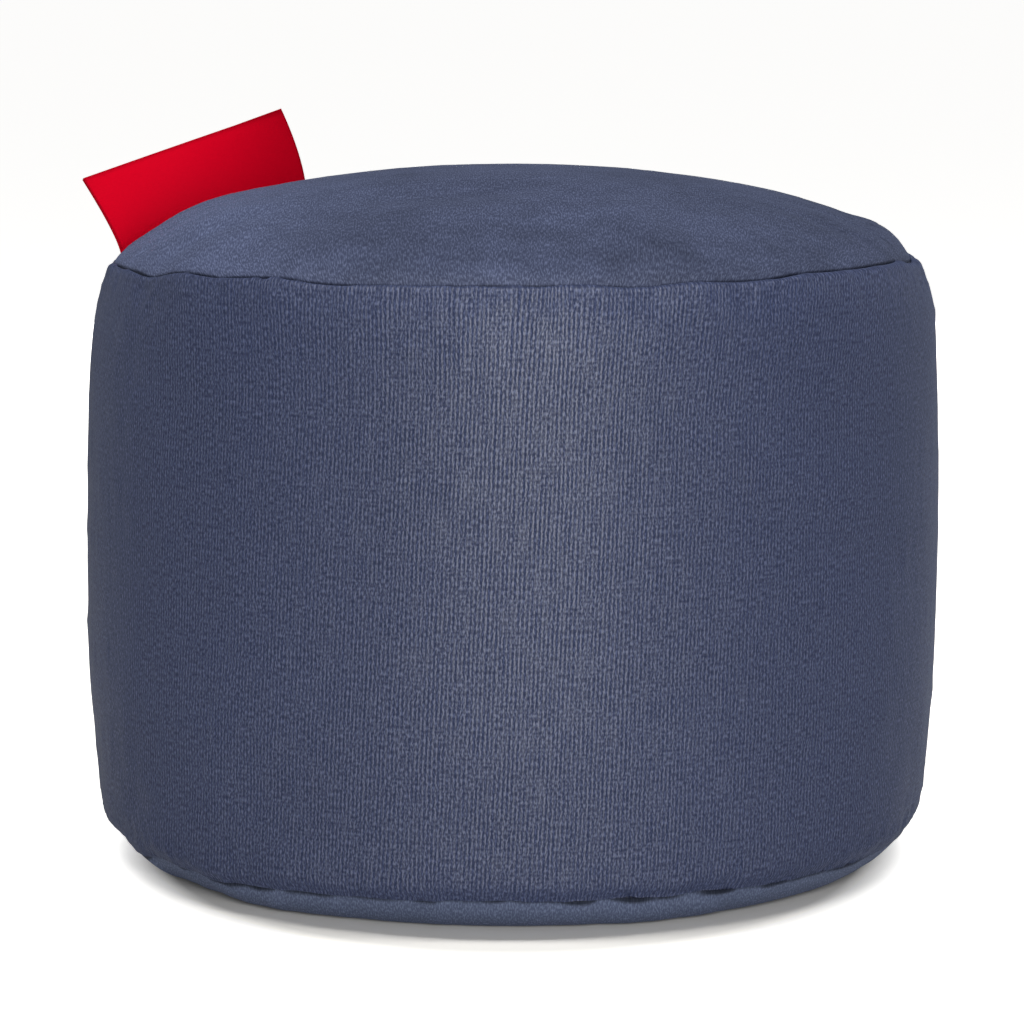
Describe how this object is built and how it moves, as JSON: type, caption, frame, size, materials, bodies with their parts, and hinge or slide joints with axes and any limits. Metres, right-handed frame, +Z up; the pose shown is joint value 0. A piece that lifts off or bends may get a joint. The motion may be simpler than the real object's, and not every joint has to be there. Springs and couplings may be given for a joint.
{
  "type": "bean bag footstool",
  "caption": "Round bean-filled footstool in woven cloth, with a low domed top, seams round both rims and a bare red tab at the back left.",
  "frame": {"origin": "middle of the flat foot, on the floor", "axes": "+Z up from the floor, -Y towards the front, +X to the right, the label at the back left"},
  "size_m": [0.5093, 0.5, 0.4279],
  "materials": {
    "band_cloth": "slate blue plain weave with light and dark yarns, matt",
    "panel_cloth": "the same slate blue plain weave, a little brushed, matt",
    "label_cloth": "smooth red woven tape, bare"
  },
  "bodies": {
    "root": {"side_band": "band_cloth", "top_panel": "panel_cloth", "base_panel": "panel_cloth", "label": "label_cloth"}
  },
  "joints": []
}
